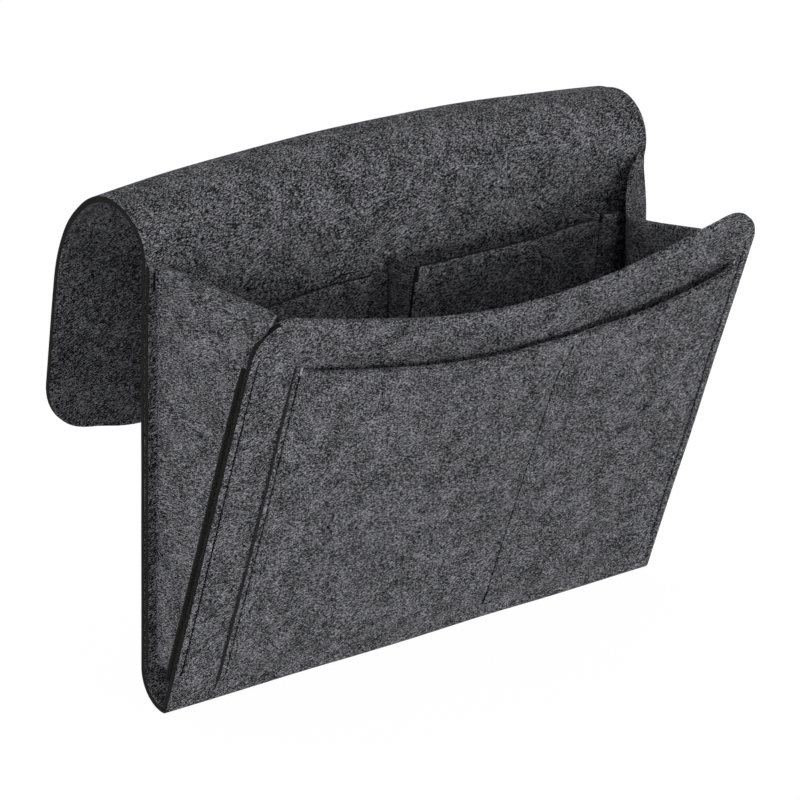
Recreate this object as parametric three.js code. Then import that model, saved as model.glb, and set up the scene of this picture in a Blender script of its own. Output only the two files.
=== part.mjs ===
// Bedside caddy sewn from felt: one long sheet forms the front, the bottom, the back and the flap
// that hangs over a bed rail. Two side gussets, a pocket on the front and three inner pockets are sewn to it.
// Millimetres and degrees. +Z is up, the front faces -Y, and X runs along the width.
import * as THREE from 'three';
import { mergeVertices } from 'three/addons/utils/BufferGeometryUtils.js';

// Felt sheet
const WIDTH = 324;
const FELT = 3;
const LAYER_GAP = 0.3; // between two sewn layers, and between a thread and its felt
const SPLIT_GAP = 0.6; // where the sheet is divided at a fold that moves
const CORNER_RADIUS = 19; // of the front's top corners

// Front panel and bottom
const FRONT_LEAN = 18;
const FRONT_LENGTH = 234; // up the panel, from the fold line to its square corners
const FRONT_SCOOP = 21; // how far the top edge dips in the middle
const CORNER_SWEEP = 108; // a top corner turns past a right angle, into the rising scoop
const FOLD_RADIUS = 1.7; // middle of the felt at the bottom crease
const FOLD_TOP = 6; // up the panel to the line that it swings about
const BOTTOM_DEPTH = 21; // from the crease to the rear face of the back panel

// Back panel, arch and flap
const BACK_HEIGHT = 229; // to the tops of the gussets, where the arch begins
const ARCH_RADIUS = 29;
const ARCH_SWEEP = 135;
const DRAPE_RADIUS = 85;
const STRAIGHT_DOWN = 180; // turn of the sheet from going up to hanging down
const FLAP_SLANT = 8; // of the hanging flap from the vertical
const FLAP_LENGTH = 90; // of its straight part
const FLAP_CORNER_RADIUS = 30;
const FLAP_CLOSING = 30; // how far the flap swings in towards the back panel

// Side gussets
const FLANGE = 7.5; // seam allowance that is turned outwards, to the middle of the wall
const BEND_RADIUS = 3;
const GUSSET_BOTTOM = 20.5;
const RIGHT_TUCK = 20; // the right gusset is pushed in by this much at its top
const TUCK_SKEW = 0.55; // below 1 brings the tuck nearer to the back
const TUCK_SHARPNESS = 1.6;
const RIGHT_DROP = 23; // and its top edge lies this much lower
const DROP_REACH = 0.2; // share of the gusset's depth where the edge comes down

// Pocket on the front
const POCKET_LEFT_MARGIN = 30;
const POCKET_RIGHT_MARGIN = 10;
const POCKET_FOOT = 8; // up the panel to its bottom edge
const POCKET_TOP = 206; // up the panel to its upper corners
const POCKET_SCOOP = 16;
const POCKET_BULGE = 6.8; // of the mouth, in the middle of each compartment
const BULGE_POWER = 1.5; // above 1 keeps the pocket flat lower down
const POCKET_RIGHT_ROOM = 104; // width of the right compartment

// Inner pockets on the back panel
const INNER_MARGIN = 2; // from the gusset flanges
const INNER_LEFT_WIDTH = 136;
const INNER_RIGHT_WIDTH = 29;
const INNER_FOOT = 70;
const INNER_HEM = 9; // flat strip along the bottom edge
const INNER_TOPS = { left: 199, middle: 206, right: 203 };
const INNER_RISES = { left: 6, middle: 0, right: 0 }; // how much higher the top edge is at the right end
const INNER_DEPTHS = { left: 22, middle: 22, right: 16 }; // back panel to the middle of the pocket's wall
const INNER_END_DEPTHS = { left: 22, middle: 14, right: 0 }; // the same at the right end
const INNER_RETURNS = { left: 48, middle: 48, right: 15 }; // length over which the depth changes
const INNER_SEAM = 8; // width of a sewn end
const INNER_SEAM_NARROW = 5;
const INNER_EASE = 0.6; // share of a sewn end where the hem comes down from its turned-in layer

// Sewing thread
const SEAM_INSET = 3; // from an edge to its seam
const STITCH = 5;
const THREAD_WIDTH = 0.9;
const THREAD_HEIGHT = 0.7;
const WAIST = 0.55; // share of the thread's size where it dips between two stitches
const TACK_LENGTH = 9;
const TACK_STITCH = 1.5;
const TACK_WIDTH = 2;
const POCKET_TACK = 5; // length of a tack at the mouth of the front pocket
const TACK_MARGIN = 1; // from that tack to the mouth's edge

// Facets
const CREASE_STEPS = 5;
const BOTTOM_STEPS = 8;
const ARCH_STEPS = 16;
const DRAPE_STEPS = 8;
const CORNER_STEPS = 8;
const SCOOP_STEPS = 20;
const RETURN_STEPS = 8;
const POCKET_COLUMN = 14; // width of one column of the front pocket
const POCKET_LEVELS = [0, 0.2, 0.4, 0.6, 0.8, 1];
const WEB_STOPS = [0.05, 0.1, 0.15, 0.2, 0.3, 0.4, 0.5, 0.6, 0.7, 0.8, 0.9];
const BEND_STOPS = [0, 1 / 3, 2 / 3, 1];

// Finish
const FELT_COLOUR = 0x535358;
const THREAD_COLOUR = 0x3d3d41;

const radians = THREE.MathUtils.degToRad;
const lean = radians(FRONT_LEAN);
const half = WIDTH / 2;
const feltMaterial = new THREE.MeshStandardMaterial({ color: FELT_COLOUR, roughness: 0.98, metalness: 0 });
const threadMaterial = new THREE.MeshStandardMaterial({ color: THREAD_COLOUR, roughness: 0.8, metalness: 0 });

const caddy = new THREE.Group();
const frontPanelFrame = new THREE.Group(); // x, then out of the panel along -y, then up the panel
frontPanelFrame.rotation.x = lean;
caddy.add(frontPanelFrame);

function addPiece(parent, name, geometry, material) {
  const mesh = new THREE.Mesh(geometry, material);
  mesh.name = name;
  parent.add(mesh);
}

// A closed solid from rings of equal length: walls from ring to ring, and a flat cap on each end.
// Each ring lists its points in the order that faces the walls outwards.
function loftRings(rings, capTriangles) {
  const count = rings[0].length;
  const index = [];
  for (let ring = 0; ring + 1 < rings.length; ring++) {
    for (let i = 0; i < count; i++) {
      const next = (i + 1) % count;
      const [a, b] = [ring * count + i, ring * count + next];
      index.push(a, b, b + count, a, b + count, a + count);
    }
  }
  const last = (rings.length - 1) * count;
  for (const [a, b, c] of capTriangles) {
    index.push(a, c, b, last + a, last + b, last + c);
  }
  const positions = rings.flat().flatMap((p) => p.toArray());
  const geometry = new THREE.BufferGeometry();
  geometry.setAttribute('position', new THREE.Float32BufferAttribute(positions, 3));
  geometry.setIndex(index);
  return mergeVertices(geometry);
}

const SQUARE_CAP = [[0, 1, 2], [0, 2, 3]];

// Stations along a bent sheet, seen from its end in (y, z). Each bend is a length, or a radius and a turn.
function bendStations(start, heading, bends) {
  const stations = [{ point: start.clone(), heading }];
  let point = start.clone();
  for (const { length, radius, turn, steps = 1 } of bends) {
    const stepTurn = turn ? radians(turn) / steps : 0;
    const chord = turn ? 2 * radius * Math.sin(Math.abs(stepTurn) / 2) : length;
    for (let i = 0; i < steps; i++) {
      const along = heading + stepTurn / 2;
      point = point.clone().add(new THREE.Vector2(Math.cos(along), Math.sin(along)).multiplyScalar(chord));
      heading += stepTurn;
      stations.push({ point, heading });
    }
  }
  return stations;
}

// A felt strip through the stations. The first end can be bevelled on its right-hand face.
function feltStrip(stations, halfWidthAt, bevel = 0) {
  const rings = stations.map(({ point, heading }, i) => {
    const left = new THREE.Vector2(-Math.sin(heading), Math.cos(heading)).multiplyScalar(FELT / 2);
    const upper = point.clone().add(left);
    const lower = point.clone().sub(left);
    if (i === 0) {
      lower.add(new THREE.Vector2(Math.cos(heading), Math.sin(heading)).multiplyScalar(bevel));
    }
    const w = halfWidthAt(i);
    return [[-w, upper], [w, upper], [w, lower], [-w, lower]].map(([x, p]) => new THREE.Vector3(x, p.x, p.y));
  });
  return loftRings(rings, SQUARE_CAP);
}

// A felt sheet through columns that run from -x to +x. A column has a rear and a front side, foot to top.
function feltSheet(columns) {
  const count = columns[0].rear.length;
  const cap = [];
  for (let i = 0; i + 1 < count; i++) {
    const across = 2 * count - 1 - i;
    cap.push([i, i + 1, across], [i + 1, across - 1, across]);
  }
  return loftRings(columns.map(({ rear, front }) => [...rear, ...[...front].reverse()]), cap);
}

// Back panel: crease, bottom curve, back and the arch up to its rear shoulder
const upPanel = new THREE.Vector2(-Math.sin(lean), Math.cos(lean));
const intoPanel = new THREE.Vector2(Math.cos(lean), Math.sin(lean));
const creaseReach = (FOLD_RADIUS + FELT / 2) * Math.tan((Math.PI / 2 - lean) / 2);
const bottomRadius = BOTTOM_DEPTH - creaseReach - FELT / 2;
const backStart = upPanel.clone().multiplyScalar(FOLD_TOP).addScaledVector(intoPanel, FELT / 2);
const backStations = bendStations(backStart, lean - Math.PI / 2, [
  { length: FOLD_TOP - creaseReach },
  { radius: FOLD_RADIUS, turn: 90 - FRONT_LEAN, steps: CREASE_STEPS },
  { radius: bottomRadius, turn: 90, steps: BOTTOM_STEPS },
  { length: BACK_HEIGHT - bottomRadius - FELT / 2 },
  { radius: ARCH_RADIUS, turn: -ARCH_SWEEP, steps: ARCH_STEPS },
]);
addPiece(caddy, 'back_panel', feltStrip(backStations, () => half), feltMaterial);

// Rear flap, from the shoulder down, with two round corners
const shoulder = backStations.at(-1);
const shoulderHeading = new THREE.Vector2(Math.cos(shoulder.heading), Math.sin(shoulder.heading));
const flapBends = [
  { radius: DRAPE_RADIUS, turn: ARCH_SWEEP + FLAP_SLANT - STRAIGHT_DOWN, steps: DRAPE_STEPS },
  { length: FLAP_LENGTH - FLAP_CORNER_RADIUS },
];
for (let i = 0; i < CORNER_STEPS; i++) {
  const [from, to] = [i, i + 1].map((n) => Math.sin((n / CORNER_STEPS) * (Math.PI / 2)));
  flapBends.push({ length: FLAP_CORNER_RADIUS * (to - from) });
}
const flapStations = bendStations(
  shoulder.point.clone().addScaledVector(shoulderHeading, SPLIT_GAP), shoulder.heading, flapBends);
const flapHalfWidth = (i) => {
  const turned = Math.max(0, i - (flapStations.length - 1 - CORNER_STEPS)) / CORNER_STEPS;
  return half - FLAP_CORNER_RADIUS * (1 - Math.cos(turned * (Math.PI / 2)));
};
const flapBevel = FELT * Math.tan(radians(FLAP_CLOSING));
addPiece(caddy, 'rear_flap', feltStrip(flapStations, flapHalfWidth, flapBevel), feltMaterial);

// Front panel: its outline up the panel, with round corners and a scooped top edge
function frontOutline() {
  const foot = FOLD_TOP + SPLIT_GAP;
  const round = [half - CORNER_RADIUS, FRONT_LENGTH - CORNER_RADIUS];
  const sweep = radians(CORNER_SWEEP);
  const scoopEnd = round[0] + CORNER_RADIUS * Math.cos(sweep);
  const scoopTop = round[1] + CORNER_RADIUS * Math.sin(sweep);
  const shape = new THREE.Shape();
  shape.moveTo(-half, foot);
  shape.lineTo(half, foot);
  shape.absarc(round[0], round[1], CORNER_RADIUS, 0, sweep, false);
  for (let i = 1; i < SCOOP_STEPS; i++) {
    const x = scoopEnd * (1 - (2 * i) / SCOOP_STEPS);
    shape.lineTo(x, scoopTop - FRONT_SCOOP * Math.cos((x / scoopEnd) * (Math.PI / 2)));
  }
  shape.absarc(-round[0], round[1], CORNER_RADIUS, Math.PI - sweep, Math.PI, false);
  return shape;
}
const frontSolid = new THREE.ExtrudeGeometry(frontOutline(), {
  depth: FELT,
  bevelEnabled: false,
  curveSegments: CORNER_STEPS,
});
frontSolid.rotateX(Math.PI / 2).translate(0, FELT, 0);
addPiece(frontPanelFrame, 'front_panel', frontSolid, feltMaterial);

// Outer pocket: a felt patch sewn on at its sides, its foot and one divider, with a slack scooped mouth
const pocketLeft = -half + POCKET_LEFT_MARGIN;
const pocketRight = half - POCKET_RIGHT_MARGIN;
const dividerX = pocketRight - POCKET_RIGHT_ROOM;
const pocketMiddle = (pocketLeft + pocketRight) / 2;
const pocketRooms = [
  [pocketLeft + 2 * SEAM_INSET, dividerX - SEAM_INSET],
  [dividerX + SEAM_INSET, pocketRight - 2 * SEAM_INSET],
];
const pocketMouth = (x) => {
  const across = (x - pocketMiddle) / (pocketRight - pocketMiddle);
  return POCKET_TOP - POCKET_SCOOP * Math.cos(across * (Math.PI / 2));
};
function pocketBulge(x, up) {
  const room = pocketRooms.find(([from, to]) => x > from && x < to);
  const swell = room ? Math.sin((Math.PI * (x - room[0])) / (room[1] - room[0])) : 0;
  return POCKET_BULGE * swell * up ** BULGE_POWER;
}
function outerPocket() {
  const stops = [pocketLeft];
  for (const [from, to] of pocketRooms) {
    const steps = Math.ceil((to - from) / POCKET_COLUMN);
    for (let i = 0; i <= steps; i++) {
      stops.push(from + ((to - from) * i) / steps);
    }
  }
  stops.push(pocketRight);
  const hem = POCKET_FOOT + 2 * SEAM_INSET;
  return feltSheet(stops.map((x) => {
    const side = (depth) => [
      new THREE.Vector3(x, -LAYER_GAP - depth, POCKET_FOOT),
      ...POCKET_LEVELS.map((up) => new THREE.Vector3(
        x, -LAYER_GAP - depth - pocketBulge(x, up), hem + (pocketMouth(x) - hem) * up)),
    ];
    return { rear: side(0), front: side(FELT) };
  }));
}
addPiece(frontPanelFrame, 'outer_pocket', outerPocket(), feltMaterial);

// A felt wall that stands on its edge. Its (x, y) path is known at each height, and each of its levels
// gives a height for every stop along that path.
function offsetPoint(path, i, distance) {
  const normals = [[i - 1, i], [i, i + 1]]
    .filter(([a, b]) => a >= 0 && b < path.length)
    .map(([a, b]) => {
      const along = new THREE.Vector2(path[b].x - path[a].x, path[b].y - path[a].y).normalize();
      return new THREE.Vector2(-along.y, along.x);
    });
  const mean = normals.reduce((sum, n) => sum.add(n), new THREE.Vector2()).normalize();
  const reach = distance / mean.dot(normals[0]);
  return new THREE.Vector3(path[i].x + mean.x * reach, path[i].y + mean.y * reach, path[i].z);
}
function feltWall(pathAt, levels) {
  const stops = pathAt(levels[0](0)).length;
  const side = (i, distance) => levels.map((heightOf) => offsetPoint(pathAt(heightOf(i)), i, distance));
  const columnAt = (i) => ({ rear: side(i, FELT / 2), front: side(i, -FELT / 2) });
  return feltSheet([...Array(stops).keys()].map(columnAt));
}

// Side gussets. Both flanges turn outwards, and lie on the back panel and behind the front panel.
const backFace = BOTTOM_DEPTH - FELT;
const flangeRear = backFace - LAYER_GAP - FELT / 2;
const flangeFront = (z) => (FELT + LAYER_GAP + FELT / 2 - z * Math.sin(lean)) / Math.cos(lean);
const gussetTopAtFrontFlange = (FRONT_LENGTH - CORNER_RADIUS) * Math.cos(lean);

// Where a gusset's felt runs at a height, as (distance in from the panels' edge, y)
const gussetStops = [
  { top: 'rear', at: () => [0, flangeRear] },
  ...BEND_STOPS.map((turn) => ({
    top: 'rear',
    at: () => [
      FLANGE - BEND_RADIUS * (1 - Math.sin(turn * (Math.PI / 2))),
      flangeRear - BEND_RADIUS * (1 - Math.cos(turn * (Math.PI / 2))),
    ],
  })),
  ...WEB_STOPS.map((along) => ({
    along,
    at: (z) => [FLANGE, THREE.MathUtils.lerp(flangeRear - BEND_RADIUS, flangeFront(z) + BEND_RADIUS, along)],
  })),
  ...BEND_STOPS.map((turn) => ({
    turn,
    at: (z) => [
      FLANGE - BEND_RADIUS * (1 - Math.cos(turn * (Math.PI / 2))),
      flangeFront(z) + BEND_RADIUS * (1 - Math.sin(turn * (Math.PI / 2))),
    ],
  })),
  { turn: 1 + FLANGE / BEND_RADIUS, at: (z) => [0, flangeFront(z)] },
];
const lastTurn = gussetStops.at(-1).turn;

function gusset(sideSign, { drop, tuck }) {
  const webTop = BACK_HEIGHT - drop;
  const topOf = (stop) => {
    if (stop.top === 'rear') {
      return BACK_HEIGHT;
    }
    if (stop.turn !== undefined) {
      const low = Math.min(webTop, gussetTopAtFrontFlange);
      return THREE.MathUtils.lerp(webTop, low, stop.turn / lastTurn);
    }
    return BACK_HEIGHT - drop * THREE.MathUtils.smoothstep(stop.along, 0, DROP_REACH);
  };
  const pushedIn = (stop, z) => {
    const swell = stop.along ? Math.sin(Math.PI * stop.along ** TUCK_SKEW) ** TUCK_SHARPNESS : 0;
    return (tuck * swell * (z - GUSSET_BOTTOM)) / (webTop - GUSSET_BOTTOM);
  };
  const pathAt = (z) => gussetStops.map((stop) => {
    const [inset, y] = stop.at(z);
    return new THREE.Vector3(sideSign * (half - inset - pushedIn(stop, z)), y, z);
  });
  return feltWall(pathAt, [() => GUSSET_BOTTOM, (i) => topOf(gussetStops[i])]);
}
addPiece(caddy, 'left_gusset', gusset(-1, { drop: 0, tuck: 0 }), feltMaterial);
addPiece(caddy, 'right_gusset', gusset(1, { drop: RIGHT_DROP, tuck: RIGHT_TUCK }), feltMaterial);

// Inner pockets. Each stands out from the back panel and closes to a flat hem at its foot. Its ends are
// turned in, under its own front, but the last pocket comes back to the panel at its right end.
const innerEdge = half - FLANGE - FELT / 2 - INNER_MARGIN;
const innerLeft = { name: 'left', seam: INNER_SEAM, from: -innerEdge + FELT / 2 };
innerLeft.to = innerLeft.from + INNER_LEFT_WIDTH;
const innerRight = {
  name: 'right',
  seam: INNER_SEAM_NARROW,
  from: innerEdge - INNER_RIGHT_WIDTH,
  to: innerEdge - INNER_SEAM_NARROW,
};
const innerMiddle = {
  name: 'middle',
  seam: INNER_SEAM,
  from: innerLeft.to + FELT + LAYER_GAP,
  to: innerRight.from - FELT - LAYER_GAP,
};
const innerPockets = [innerLeft, innerMiddle, innerRight];
const hemTop = INNER_FOOT + INNER_HEM;
const flangeFace = flangeRear - FELT / 2;
const foldedY = flangeRear - FELT - LAYER_GAP;
const comesBack = (name) => INNER_END_DEPTHS[name] === 0;

function innerPocket({ name, seam, from, to }) {
  const flatEnd = comesBack(name);
  const turnedIn = seam + FELT / 2;
  const eased = turnedIn + INNER_EASE * seam;
  const returnStart = to - INNER_RETURNS[name];
  const wallXs = [from, from + turnedIn, from + eased];
  const returnFrom = Math.max(returnStart, from + eased);
  const returnTo = flatEnd ? to : to - eased;
  for (let i = 1; i <= RETURN_STEPS; i++) {
    wallXs.push(THREE.MathUtils.lerp(returnFrom, returnTo, i / RETURN_STEPS));
  }
  if (!flatEnd) {
    wallXs.push(to - turnedIn, to);
  }
  const hemY = (x) => {
    const fromStart = THREE.MathUtils.smoothstep(x, from + turnedIn, from + eased);
    const toEnd = flatEnd ? 0 : THREE.MathUtils.smoothstep(x, to - eased, to - turnedIn);
    return THREE.MathUtils.lerp(foldedY, flangeRear, fromStart - toEnd);
  };
  const wallY = (x) => {
    const along = THREE.MathUtils.clamp((x - returnStart) / (to - returnStart), 0, 1);
    const returned = (1 - Math.cos(Math.PI * along)) / 2;
    const depth = THREE.MathUtils.lerp(INNER_DEPTHS[name], INNER_END_DEPTHS[name], returned);
    return Math.min(flangeRear, backFace - depth);
  };
  const pathAt = (z) => {
    const open = Math.max(0, z - hemTop) / (INNER_TOPS[name] - hemTop);
    const wall = wallXs.map((x) => new THREE.Vector3(x, THREE.MathUtils.lerp(hemY(x), wallY(x), open), z));
    const end = flatEnd ? [[to + seam, flangeRear]] : [[to, flangeRear], [to - seam, flangeRear]];
    return [
      new THREE.Vector3(from + seam, flangeRear, z),
      new THREE.Vector3(from, flangeRear, z),
      ...wall,
      ...end.map(([x, y]) => new THREE.Vector3(x, y, z)),
    ];
  };
  const topOf = (i) => {
    const x = pathAt(hemTop)[i].x;
    return INNER_TOPS[name] + (INNER_RISES[name] * (x - from)) / (to - from);
  };
  return feltWall(pathAt, [() => INNER_FOOT, () => hemTop, topOf]);
}
for (const pocket of innerPockets) {
  addPiece(caddy, `${pocket.name}_inner_pocket`, innerPocket(pocket), feltMaterial);
}

// Sewing thread: one strand per seam, lying on its felt, thick in each stitch and drawn in between stitches
function threadRun(parent, name, from, to, outward, { stitch = STITCH, width = THREAD_WIDTH } = {}) {
  const along = new THREE.Vector3().subVectors(to, from);
  const steps = 2 * Math.max(1, Math.round(along.length() / stitch));
  const across = new THREE.Vector3().crossVectors(outward, along).normalize();
  const rings = [];
  for (let i = 0; i <= steps; i++) {
    const size = i % 2 ? 1 : WAIST;
    const base = from.clone().addScaledVector(along, i / steps).addScaledVector(outward, LAYER_GAP);
    const corner = (side, up) => base.clone()
      .addScaledVector(across, (side * size * width) / 2)
      .addScaledVector(outward, up * size * THREAD_HEIGHT);
    rings.push([corner(-1, 0), corner(1, 0), corner(1, 1), corner(-1, 1)]);
  }
  addPiece(parent, name, loftRings(rings, SQUARE_CAP), threadMaterial);
}
const at = (x, y, z) => new THREE.Vector3(x, y, z);
const forward = at(0, -1, 0);
const tack = { stitch: TACK_STITCH, width: TACK_WIDTH };

// Side seams and the tacks at the tops of the gussets
for (const [side, sign] of [['left', -1], ['right', 1]]) {
  const x = sign * (half - SEAM_INSET);
  const seamFoot = GUSSET_BOTTOM + SEAM_INSET;
  const tackFoot = BACK_HEIGHT - TACK_LENGTH - SEAM_INSET;
  threadRun(caddy, `back_seam_${side}`,
    at(x, flangeFace, seamFoot), at(x, flangeFace, tackFoot - SEAM_INSET), forward);
  threadRun(frontPanelFrame, `front_seam_${side}`,
    at(x, 0, seamFoot), at(x, 0, FRONT_LENGTH - CORNER_RADIUS - SEAM_INSET), forward);
  threadRun(caddy, `gusset_tack_${side}`,
    at(x, flangeFace, tackFoot), at(x, flangeFace, tackFoot + TACK_LENGTH), forward, tack);
}

// Outer pocket seams, and tacks at the three ends of its mouth
const pocketFace = -LAYER_GAP - FELT;
const pocketSeamFoot = POCKET_FOOT + SEAM_INSET;
const pocketSeams = { left: pocketLeft + SEAM_INSET, divider: dividerX, right: pocketRight - SEAM_INSET };
for (const [name, x] of Object.entries(pocketSeams)) {
  const tackTop = pocketMouth(x) - TACK_MARGIN;
  const tackFoot = tackTop - POCKET_TACK;
  threadRun(frontPanelFrame, `pocket_seam_${name}`,
    at(x, pocketFace, pocketSeamFoot + TACK_WIDTH), at(x, pocketFace, tackFoot - THREAD_WIDTH), forward);
  threadRun(frontPanelFrame, `pocket_tack_${name}`,
    at(x, pocketFace, tackFoot), at(x, pocketFace, tackTop), forward, tack);
}
const footSeamEnds = [pocketSeams.left, pocketSeams.right].map((x) => at(x, pocketFace, pocketSeamFoot));
threadRun(frontPanelFrame, 'pocket_seam_foot', ...footSeamEnds, forward);

// Inner pocket seams: the ends and the hems
for (const { name, seam, from, to } of innerPockets) {
  const flatEnd = comesBack(name);
  const top = INNER_TOPS[name] - SEAM_INSET;
  const lowOnTurnIn = (hemTop + top) / 2;
  const intoTurnIn = FELT / 2 + (seam - FELT / 2) / 2;
  const endX = flatEnd ? to + seam / 2 : to - intoTurnIn;
  threadRun(caddy, `inner_anchor_seam_${name}`,
    at(from + intoTurnIn, flangeFace, lowOnTurnIn), at(from + intoTurnIn, flangeFace, top), forward);
  threadRun(caddy, `inner_end_seam_${name}`,
    at(endX, flangeFace, flatEnd ? hemTop : lowOnTurnIn), at(endX, flangeFace, top), forward);
  const hemSeam = INNER_FOOT + INNER_HEM / 2;
  const clearOfTurnIn = 2 * seam + FELT / 2;
  const hemEnd = flatEnd ? to + seam - FELT / 2 : to - clearOfTurnIn;
  threadRun(caddy, `inner_hem_seam_${name}`,
    at(from + clearOfTurnIn, flangeFace, hemSeam), at(hemEnd, flangeFace, hemSeam), forward);
}

// The part's origin is under the crown of the arch, where a bed rail carries it
caddy.position.set(0, -(BOTTOM_DEPTH - FELT / 2 + ARCH_RADIUS), -(BACK_HEIGHT + ARCH_RADIUS - FELT / 2));
const part = new THREE.Group();
part.add(caddy);
export default part;
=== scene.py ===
"""Bedside caddy of charcoal needle felt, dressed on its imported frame.

Sizes are in millimetres, measured from the bottom crease: x along the width, y towards the hanging
flap and z up. to_row turns them into the row's own frame, in metres.
"""

from __future__ import annotations

import logging
import math
from dataclasses import dataclass, field
from enum import Enum
from typing import Any, Callable, ClassVar, Sequence

import bpy
from bpy.types import Material, Node, NodeSocket, NodeTree, Object, Scene
from mathutils import Matrix, Vector, geometry, noise

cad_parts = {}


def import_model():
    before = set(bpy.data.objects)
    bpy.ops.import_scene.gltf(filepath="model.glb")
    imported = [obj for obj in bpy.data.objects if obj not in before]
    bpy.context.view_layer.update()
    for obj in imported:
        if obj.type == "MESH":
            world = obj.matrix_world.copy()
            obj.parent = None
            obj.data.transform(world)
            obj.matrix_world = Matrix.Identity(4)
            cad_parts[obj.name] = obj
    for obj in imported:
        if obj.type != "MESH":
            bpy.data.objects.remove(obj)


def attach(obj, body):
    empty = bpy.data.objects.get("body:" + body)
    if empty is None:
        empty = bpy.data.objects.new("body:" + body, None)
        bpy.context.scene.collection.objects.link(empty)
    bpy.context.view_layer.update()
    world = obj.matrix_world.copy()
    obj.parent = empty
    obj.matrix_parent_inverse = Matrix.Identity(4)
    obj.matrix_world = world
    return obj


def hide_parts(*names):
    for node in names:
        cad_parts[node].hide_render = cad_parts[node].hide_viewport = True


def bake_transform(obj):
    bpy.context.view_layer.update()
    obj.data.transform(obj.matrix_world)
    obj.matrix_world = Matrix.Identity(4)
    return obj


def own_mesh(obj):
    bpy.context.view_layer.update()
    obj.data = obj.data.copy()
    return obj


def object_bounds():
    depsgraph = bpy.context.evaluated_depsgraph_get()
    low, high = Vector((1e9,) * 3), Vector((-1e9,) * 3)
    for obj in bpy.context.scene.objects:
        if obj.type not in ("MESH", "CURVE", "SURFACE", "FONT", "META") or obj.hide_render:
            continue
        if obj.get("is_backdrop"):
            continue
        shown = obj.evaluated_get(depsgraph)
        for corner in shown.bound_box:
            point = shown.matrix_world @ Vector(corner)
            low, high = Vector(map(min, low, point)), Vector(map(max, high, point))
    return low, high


LOG = logging.getLogger("bedside_caddy")
MM = 0.001

# Sizes that several pieces share
WIDTH = 324.0
HALF = WIDTH / 2
FELT = 3.0
LAYER_GAP = 0.3
LEAN = math.radians(18)
CORNER = 19.0
FOLD_TOP = 6.0
FRONT_LENGTH = 234.0
FRONT_SCOOP = 21.0
CORNER_SWEEP = math.radians(108)
BOTTOM_DEPTH = 21.0
BACK_HEIGHT = 229.0
ARCH_RADIUS = 29.0
SEAM_INSET = 3.0
FRONT_SEAM_INSET = 4.8
BACK_FACE = BOTTOM_DEPTH - FELT
FLANGE_REAR = BACK_FACE - LAYER_GAP - FELT / 2
ARCH_CENTRE = BOTTOM_DEPTH - FELT / 2 + ARCH_RADIUS
ROW_ORIGIN = Vector((0.0, ARCH_CENTRE, BACK_HEIGHT + ARCH_RADIUS - FELT / 2))

SEWN_GAP = 0.04
SAME_SHARE = 1e-4
HARDLY_ANY = 1e-9

# Stops along the felt of a gusset or an inner pocket: a sewn end, a bend, the wall, a bend and a sewn end
BEND_START = 1
WALL_START = 2
WALL_END = 3
BEND_END = 4
LAST_STOP = 5

# Largest steps of the felt's mesh, in millimetres and as shares of a piece
SEAM_STEP = 0.3
FINE_STEP = 0.5
BEND_STEP = 1.5
ARCH_STEP = 2.2
FLAT_STEP = 4.0
WIDE_STEP = 4.5
NEAR_COLUMN = 0.2
WALL_SHARE = 0.022
HEIGHT_SHARE = 0.03

# Gives the middle of a piece's felt at a column and a row, in millimetres before it settles
Surface = Callable[[float, float], Vector]


class Slot(Enum):
    """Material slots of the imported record."""

    FELT = "felt"
    THREAD = "thread"


class Body(Enum):
    """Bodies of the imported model."""

    BACK = "back"
    FLAP = "flap"
    FRONT = "front"


def to_row(point: Vector) -> Vector:
    """Turns a point in millimetres from the crease into the row's frame, in metres."""
    return (point - ROW_ORIGIN) * MM


def smoothstep(value: float, low: float, high: float) -> float:
    """Gives 0 below low, 1 above high and an even S between them."""
    share = min(1.0, max(0.0, (value - low) / (high - low)))
    return share * share * (3 - 2 * share)


def lerp(start: float, end: float, share: float) -> float:
    """Gives the value at a share of the way from start to end."""
    return start + (end - start) * share


def evenly(start: float, end: float, steps: int) -> list[float]:
    """Gives the ends of a number of even steps from start to end, both included."""
    return [lerp(start, end, i / steps) for i in range(steps + 1)]


def spaced(start: float, end: float, step: float) -> list[float]:
    """Gives evenly spaced values from start to end, both included.

    Args:
        start: First value.
        end: Last value.
        step: Largest distance between two values.

    Returns:
        The values in order.
    """
    return evenly(start, end, max(1, math.ceil(abs(end - start) / step - HARDLY_ANY)))


def merged(*runs: Sequence[float], near: float = 0.05) -> list[float]:
    """Gives all the values of several runs in order.

    Args:
        runs: The runs, whose ends can meet or cross.
        near: A value that is this close to the one before it is left out.

    Returns:
        The values, from the least to the greatest.
    """
    values: list[float] = []
    for value in sorted(v for run in runs for v in run):
        if not values or value - values[-1] > near:
            values.append(value)
    return values


def linear(hex_colour: str) -> tuple[float, float, float, float]:
    """Turns an sRGB hex colour into a linear one with full alpha."""
    parts = [int(hex_colour[i : i + 2], 16) / 255 for i in (1, 3, 5)]
    red, green, blue = (c / 12.92 if c <= 0.04045 else ((c + 0.055) / 1.055) ** 2.4 for c in parts)
    return red, green, blue, 1.0


def add_node(
    tree: NodeTree,
    kind: str,
    settings: dict[str, Any] | None = None,
    inputs: dict[str, Any] | None = None,
) -> Node:
    """Adds a node to a material.

    Args:
        tree: The material's node tree.
        kind: The node's type name.
        settings: Values of the node's own properties.
        inputs: Input name to a value, or to an output socket that is linked to it.

    Returns:
        The new node.
    """
    node = tree.nodes.new(kind)
    for name, value in (settings or {}).items():
        setattr(node, name, value)
    for name, value in (inputs or {}).items():
        socket = node.inputs[int(name)] if name.isdigit() else node.inputs[name]
        if isinstance(value, NodeSocket):
            tree.links.new(value, socket)
        else:
            socket.default_value = value
    return node


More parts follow.
